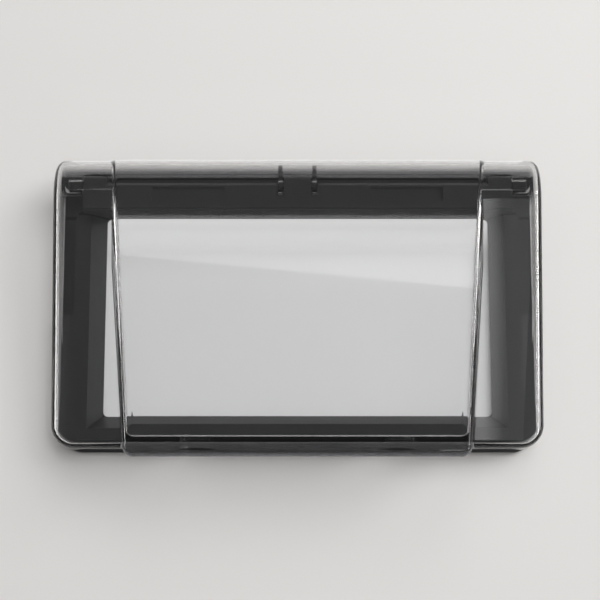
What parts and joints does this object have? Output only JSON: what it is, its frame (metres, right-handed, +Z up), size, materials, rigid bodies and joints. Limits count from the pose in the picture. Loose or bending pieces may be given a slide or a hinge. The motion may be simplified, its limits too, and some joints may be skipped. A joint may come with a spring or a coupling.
{
  "type": "waterproof socket cover",
  "caption": "Flip-up splash cover of smoked clear plastic that sticks to the wall round two side-by-side sockets, with room for plugs under the raised lid and cable outlets below.",
  "frame": {"origin": "centre of the socket opening, on the wall plane", "axes": "+Z up, +X along the hinge to the viewer's right, -Y out of the wall towards the viewer"},
  "size_m": [0.219, 0.048, 0.1373],
  "materials": {
    "smoke_base": "dark smoked plastic, satin",
    "smoke_lid": "clear smoked plastic, polished",
    "pin_steel": "drawn steel pin",
    "seal_rubber": "soft silicone, matte",
    "foam_white": "closed-cell foam tape, matte"
  },
  "bodies": {
    "base": {"base_frame": "smoke_base", "hinge_pin_left": "pin_steel", "hinge_pin_right": "pin_steel", "centre_hinge_pin": "pin_steel", "lid_seal": "seal_rubber", "foam_tape": "foam_white"},
    "lid": {"lid": "smoke_lid"}
  },
  "joints": [
    {"name": "lid_hinge", "type": "hinge", "parent": "base", "child": "lid", "pos_m": [0, -0.0155, 0.0584], "axis": [-1, 0, 0], "range_deg": [0, 105]}
  ]
}
